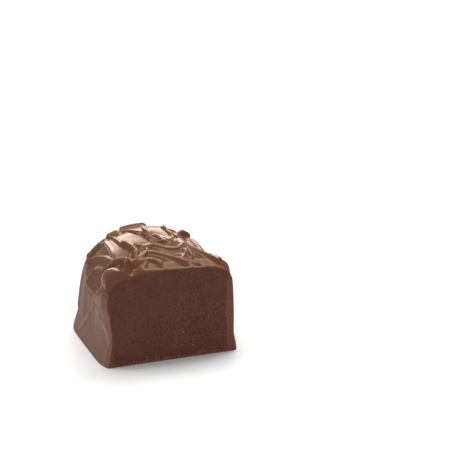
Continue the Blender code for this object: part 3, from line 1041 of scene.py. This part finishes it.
@dataclass
class Shell:
    """The milk chocolate shell, open at the cut, with its drizzle.

    The smear is how much ganache lies on the cut, by direction in degrees. Waves are counted per mm.
    """

    outline: CoreOutline
    relief: Relief = field(default_factory=Relief)
    cuts: int = 118
    ring_rows: int = 9
    inner_rows: int = 14
    swell: float = 0.2
    swell_size: float = 6.0
    swell_from: float = 6.0
    knife_wave: float = 0.06
    knife_waves: float = 1.3
    knife_rise: float = 3.0
    smear_rise: float = 4.0
    smear_waves: tuple[tuple[float, float], ...] = ((0.3, 1.1), (0.2, 3.7))
    filled_from: float = 0.7
    smear: tuple[tuple[float, float], ...] = (
        (-150, 0.8),
        (-110, 0.35),
        (-60, 0.2),
        (-30, 0.6),
        (15, 0.6),
        (35, 0.5),
        (60, 0.9),
        (120, 0.9),
        (140, 1.0),
        (165, 1.0),
        (178, 0.8),
    )

    def build(self) -> tuple[np.ndarray, np.ndarray]:
        """Builds and dresses the shell.

        Returns:
            The directions of its inner edge at the cut, in radians, and the edge's radii, in mm.
        """
        shape = OUTSIDE.mesh(self.cuts)
        points = np.array([vert.co[:] for vert in shape.verts])
        above_foot = ease(points[:, 2] / self.swell_from)
        lifts = self.relief.lift(points) + self.swell * noise_at(points, self.swell_size) * above_foot
        # The painted shade under the drizzle's overhang, and the painted highlights on the creases and at the
        # cut's left edge
        shade, painted_highlight, cut, smear = (
            shape.verts.layers.float.new(name) for name in ("shade", "painted_highlight", "cut", "smear")
        )
        painted_shades = self.relief.shade(points)
        lights = self.relief.painted_highlight(points)
        for vert, lift, dark, light in zip(shape.verts, lifts, painted_shades, lights):
            vert.co += vert.normal * lift
            vert[shade] = dark
            vert[painted_highlight] = light
            vert[cut] = Region.OUTSIDE.value
        loop = cut_open(shape, OUTSIDE.cut_y)
        turns, outer = polar(loop, self.outline.middle_z)
        inner = self.outline.radii(turns, outer)
        self.close(shape, loop, inner, (cut, smear))
        piece = add_piece("coating_shell", shape, "coating")
        piece.data.materials.append(MilkChocolate().build())
        return turns, inner

    def close(
        self,
        shape: bmesh.types.BMesh,
        loop: list[bmesh.types.BMVert],
        inner: np.ndarray,
        layers: tuple[bmesh.types.BMLayerItem, bmesh.types.BMLayerItem],
    ) -> None:
        """Adds the shell's cut edge and its inner wall, which the ganache fills.

        Args:
            shape: The open outside.
            loop: Its open edge, in order.
            inner: The radius of the inner edge at each of the loop's points.
            layers: The layers that mark the cut face and the ganache smeared on it.
        """
        middle = self.outline.middle_z
        turns, outer = polar(loop, middle)
        knots = np.array(self.smear)
        smeared = np.interp(turns, np.radians(knots[:, 0]), knots[:, 1], period=math.tau)
        cut, smear = layers
        rows = [[shape.verts.new(vert.co) for vert in loop]]
        shares = np.linspace(0.0, 1.0, self.ring_rows)
        for share in shares[1:]:
            row = []
            for turn, out in zip(turns, outer + (inner - outer) * share):
                point = Vector((out * math.cos(turn), OUTSIDE.cut_y, middle + out * math.sin(turn)))
                wave = self.knife_wave * noise.noise(point * self.knife_waves)
                point.y -= wave * min(1.0, share * self.knife_rise)
                row.append(shape.verts.new(point))
            rows.append(row)
        for share, row in zip(shares, rows):
            filled = min(1.0, max(0.0, (share - self.filled_from) / (1 - self.filled_from)))
            for vert, part in zip(row, smeared):
                ragged = sum(size * noise.noise(vert.co * waves) for size, waves in self.smear_waves)
                spread = (part + ragged) * min(1.0, share * self.smear_rise)
                vert[cut] = Region.CUT.value
                vert[smear] = min(1.0, max(0.0, spread + (1 - part) * filled))
        hollow = np.minimum(self.outline.hollow(turns), inner)
        for share in np.linspace(0.0, 1.0, self.inner_rows)[1:]:
            ring = self.outline.ring(turns, hollow, share, self.outline.depth)
            rows.append([shape.verts.new(point) for point in ring])
        for near, far in zip(rows, rows[1:]):
            join_rings(shape, near, far)
        shape.faces.new(rows[-1])
        bmesh.ops.remove_doubles(shape, verts=loop + rows[0], dist=CLOSE)


@dataclass
class Core:
    """The ganache, which runs right through to the cut.

    The knife tore pits in its face, whose shade is painted darker, and left pale grains on it, more of them
    in a crowd at the lower right.
    """

    outline: CoreOutline
    edge: tuple[np.ndarray, np.ndarray]
    columns: int = 190
    rows: int = 150
    back_rows: int = 14
    grid_half_width: float = 13.0
    grid_half_height: float = 10.4
    overlap: float = 0.04
    proud: float = 0.02
    waves: tuple[tuple[float, float], ...] = ((0.05, 2.6), (0.03, 0.5))
    pit_count: int = 800
    pit_depth: float = 0.14
    pale_count: int = 260
    pale_strength: float = 0.35
    pale_height: float = 0.05
    marks_across: tuple[float, float] = (-14.0, 13.0)
    marks_up: tuple[float, float] = (0.8, 21.5)
    mark_sizes: tuple[float, float] = (0.12, 0.24)
    mark_strengths: tuple[float, float] = (0.25, 1.0)
    crowd_every: int = 3
    crowd_x: float = 6.0
    crowd_z: float = 8.0
    crowd_spread: float = 4.5
    plain_edge: float = 0.02
    seed: int = 11

    def build(self) -> bpy.types.Object:
        """Builds and dresses the ganache."""
        shape = bmesh.new()
        pit_shade = shape.verts.layers.float.new("pit_shade")
        pale = shape.verts.layers.float.new("pale")
        u, v = np.meshgrid(np.linspace(-1, 1, self.columns), np.linspace(-1, 1, self.rows), indexing="ij")
        reach = np.maximum(np.abs(u), np.abs(v))
        turns = np.arctan2(v * self.grid_half_height, u * self.grid_half_width)
        order = np.argsort(self.edge[0])
        radius = np.interp(turns, self.edge[0][order], self.edge[1][order], period=math.tau)
        radius = (radius + self.overlap) * reach
        x = radius * np.cos(turns)
        z = radius * np.sin(turns) + self.outline.middle_z
        points = np.stack((x, np.zeros_like(x), z), axis=-1).reshape(-1, 3)
        # The pits are sunk, and their shade is also painted darker as a mark
        depth, dark, light = self.surface(points, reach.ravel())
        grid = []
        for point, sunk, pit_shaded, paled in zip(points, depth, dark, light):
            vert = shape.verts.new((point[0], OUTSIDE.cut_y - self.proud + sunk, point[2]))
            vert[pit_shade] = pit_shaded
            vert[pale] = paled
            grid.append(vert)
        table = np.arange(self.columns * self.rows).reshape(self.columns, self.rows)
        for left, right in zip(table, table[1:]):
            for a, b, c, d in zip(left, right, right[1:], left[1:]):
                shape.faces.new((grid[a], grid[b], grid[c], grid[d]))
        edge = [*table[:, 0], *table[-1, 1:], *table[-2::-1, -1], *table[0, -2:0:-1]]
        self.add_back(shape, [grid[at] for at in edge])
        piece = add_piece("ganache_core", shape, "ganache")
        piece.data.materials.append(Ganache().build())
        return piece

    def surface(self, points: np.ndarray, reach: np.ndarray) -> tuple[np.ndarray, np.ndarray, np.ndarray]:
        """The cut face's relief.

        Args:
            points: The face's points, in mm.
            reach: How near the edge each point is, up to 1.

        Returns:
            How far each point is sunk, how much painted shade it has in its pits and how much it is a pale
            grain.
        """
        draw = random.Random(self.seed)
        sunk = sum(height * noise_at(points, size) for height, size in self.waves)
        pits = np.zeros(len(points))
        pales = np.zeros(len(points))
        for index in range(self.pit_count + self.pale_count):
            x = draw.uniform(*self.marks_across)
            z = draw.uniform(*self.marks_up)
            if index % self.crowd_every == 0:
                x = draw.gauss(self.crowd_x, self.crowd_spread)
                z = draw.gauss(self.crowd_z, self.crowd_spread)
            size = draw.uniform(*self.mark_sizes)
            strength = draw.uniform(*self.mark_strengths)
            spread = np.hypot(points[:, 0] - x, points[:, 2] - z) / size
            mark = strength * np.clip(1 - spread**2, 0.0, 1.0)
            if index < self.pit_count:
                pits = np.maximum(pits, mark)
            else:
                pales = np.maximum(pales, self.pale_strength * mark)
        inside = ease((1 - reach) / self.plain_edge)
        sunk = (sunk + self.pit_depth * pits - self.pale_height * pales) * inside
        return sunk, pits * inside, pales * (1 - pits) * inside

    def add_back(self, shape: bmesh.types.BMesh, edge: list[bmesh.types.BMVert]) -> None:
        """Closes the ganache behind its cut face.

        Args:
            shape: The ganache's mesh.
            edge: The cut face's edge, in order.
        """
        near = edge
        turns, radii = polar(edge, self.outline.middle_z)
        hollow = np.minimum(self.outline.hollow(turns), radii)
        for share in np.linspace(0.0, 1.0, self.back_rows)[1:]:
            ring = self.outline.ring(turns, hollow, share, self.outline.depth - self.overlap)
            far = [shape.verts.new(point) for point in ring]
            join_rings(shape, near, far)
            near = far
        shape.faces.new(near)


@dataclass(frozen=True)
class Crumb:
    """Crumbs that the knife dragged down: dry, dull, and paler than what they came from."""

    name: str = "crumb"
    roughness: float = 0.85
    mottle_size: float = 0.4
    mottle_range: tuple[float, float] = (0.35, 0.65)
    mottle_level: float = 0.7
    specular_level: float = 0.2
    ior: float = 1.46

    def build(self) -> bpy.types.Material:
        """Makes the material."""
        values = {
            "Roughness": self.roughness,
            "Specular IOR Level": self.specular_level,
            "IOR": self.ior,
        }
        material, shader = new_material(self.name, values)
        tree = material.node_tree
        place = add_node(tree, "ShaderNodeTexCoord").outputs["Object"]
        mottle = add_node(tree, NOISE, {"Scale": 1 / MM / self.mottle_size}, {"Vector": place}).outputs["Fac"]
        low, high = self.mottle_range
        level = add_node(
            tree, RANGE, {"From Min": low, "From Max": high, "To Min": self.mottle_level}, {"Value": mottle}
        ).outputs["Result"]
        colour = add_node(
            tree,
            MIX,
            {"data_type": "RGBA", "blend_type": "MULTIPLY", FACTOR: 1.0, COLOUR_A: linear(Hue.CRUMB)},
            {COLOUR_B: level},
        ).outputs[COLOUR_OUT]
        tree.links.new(colour, shader.inputs["Base Color"])
        return material


@dataclass
class Crumbs:
    """Fine crumbs that stick to the cut, most of them along its foot."""

    count: int = 150
    left: float = -12.6
    right: float = 13.4
    sizes: tuple[float, float] = (0.07, 0.2)
    low_share: float = 0.75
    low_start: float = 0.8
    low_spread: float = 0.5
    crowd_x: float = 6.0
    crowd_z: float = 5.0
    crowd_width: float = 5.0
    crowd_height: float = 3.0
    bedded: float = 0.3
    wide: tuple[float, float] = (0.8, 1.5)
    deep: float = 0.7
    high: tuple[float, float] = (0.7, 1.1)
    lumps: float = 0.35
    lump_waves: float = 1.5
    seed: int = 23

    def build(self) -> bpy.types.Object:
        """Builds and dresses the crumbs."""
        draw = random.Random(self.seed)
        shape = bmesh.new()
        for index in range(self.count):
            size = draw.uniform(*self.sizes)
            x = draw.uniform(self.left, self.right)
            z = size * self.low_start + abs(draw.gauss(0.0, self.low_spread))
            if index > self.count * self.low_share:
                x = draw.gauss(self.crowd_x, self.crowd_width)
                z = abs(draw.gauss(self.crowd_z, self.crowd_height)) + size
            place = Vector((min(self.right, x), OUTSIDE.cut_y - self.bedded * size, z))
            made = bmesh.ops.create_icosphere(shape, subdivisions=2, radius=size)
            stretch = Vector((draw.uniform(*self.wide), self.deep, draw.uniform(*self.high)))
            for vert in made["verts"]:
                lump = 1 + self.lumps * noise.noise(vert.co / size * self.lump_waves + place)
                vert.co = place + vert.co * lump * stretch
        piece = add_piece("cut_crumbs", shape, None)
        piece.data.materials.append(Crumb().build())
        return piece


@dataclass(frozen=True)
class Lamp:
    """A soft rectangular lamp that points at the truffle, in metres and watts."""

    name: str
    place: tuple[float, float, float]
    size: tuple[float, float]
    power: float
    hue: Hue

    def build(self) -> None:
        """Adds the lamp."""
        data = bpy.data.lights.new(self.name, "AREA")
        data.shape = "RECTANGLE"
        data.size, data.size_y = self.size
        data.energy = self.power
        data.color = linear(self.hue)[:3]
        lamp = bpy.data.objects.new(self.name, data)
        lamp.location = self.place
        lamp.rotation_euler = (-Vector(self.place)).to_track_quat("-Z", "Y").to_euler()
        bpy.context.scene.collection.objects.link(lamp)


@dataclass
class Studio:
    """A pale matt floor, soft light from above and behind, and the camera."""

    lamps: tuple[Lamp, ...] = (
        Lamp("overhead", (0.0, 0.15, 0.6), (1.2, 0.26), 5.0, Hue.WARM_WHITE),
        Lamp("back_card", (0.2, 0.58, 0.24), (0.5, 0.26), 2.7, Hue.WARM),
        Lamp("front_fill", (-0.3, -0.8, 0.2), (0.8, 0.4), 3.0, Hue.WHITE),
    )
    surround: float = 0.36
    floor_size: float = 4.0
    floor_gap: float = 0.00002
    floor_roughness: float = 0.8
    elevation: float = 22.0
    azimuth: float = -19.7
    distance: float = 650.0
    pixels_per_mm: float = 4.602
    frame_pixels: float = 460.0
    sensor: float = 36.0
    clip: float = 0.01
    aim_x: float = 17.57
    aim_z: float = 22.77

    def build(self) -> None:
        """Adds the floor, the lamps, the world and the camera."""
        self.add_floor()
        for lamp in self.lamps:
            lamp.build()
        self.add_world()
        self.add_camera()

    def add_floor(self) -> None:
        """Adds the floor."""
        bpy.ops.mesh.primitive_plane_add(size=self.floor_size, location=(0, 0, -self.floor_gap))
        floor = bpy.context.object
        floor.name = "floor"
        values = {"Base Color": linear(Hue.FLOOR), "Roughness": self.floor_roughness}
        floor.data.materials.append(new_material("floor", values)[0])

    def add_world(self) -> None:
        """Sets a white surround and plain colour output."""
        world = bpy.data.worlds.new("studio")
        world.use_nodes = True
        background = world.node_tree.nodes["Background"]
        background.inputs["Color"].default_value = linear(Hue.WHITE)
        background.inputs["Strength"].default_value = self.surround
        bpy.context.scene.world = world
        bpy.context.scene.view_settings.view_transform = "Standard"

    def add_camera(self) -> None:
        """Adds the camera at the photograph's angle."""
        data = bpy.data.cameras.new("camera")
        data.sensor_width = self.sensor
        data.lens = self.sensor * self.pixels_per_mm * self.distance / self.frame_pixels
        data.clip_start = self.clip
        rise = math.radians(self.elevation)
        turn = math.radians(self.azimuth)
        away = Vector((math.sin(turn) * math.cos(rise), -math.cos(turn) * math.cos(rise), math.sin(rise)))
        aim = Vector((self.aim_x, OUTSIDE.plan_y, self.aim_z))
        camera = bpy.data.objects.new("camera", data)
        camera.location = (aim + away * self.distance) * MM
        camera.rotation_euler = (-away).to_track_quat("-Z", "Y").to_euler()
        bpy.context.scene.collection.objects.link(camera)
        bpy.context.scene.camera = camera


def main() -> None:
    """Builds the truffle and the studio, and logs each piece's vertex count."""
    logging.basicConfig(level=logging.INFO, format="%(name)s: %(message)s")
    outline = CoreOutline()
    edge = Shell(outline).build()
    Core(outline, edge).build()
    Crumbs().build()
    Studio().build()


if __name__ == "__main__":
    main()
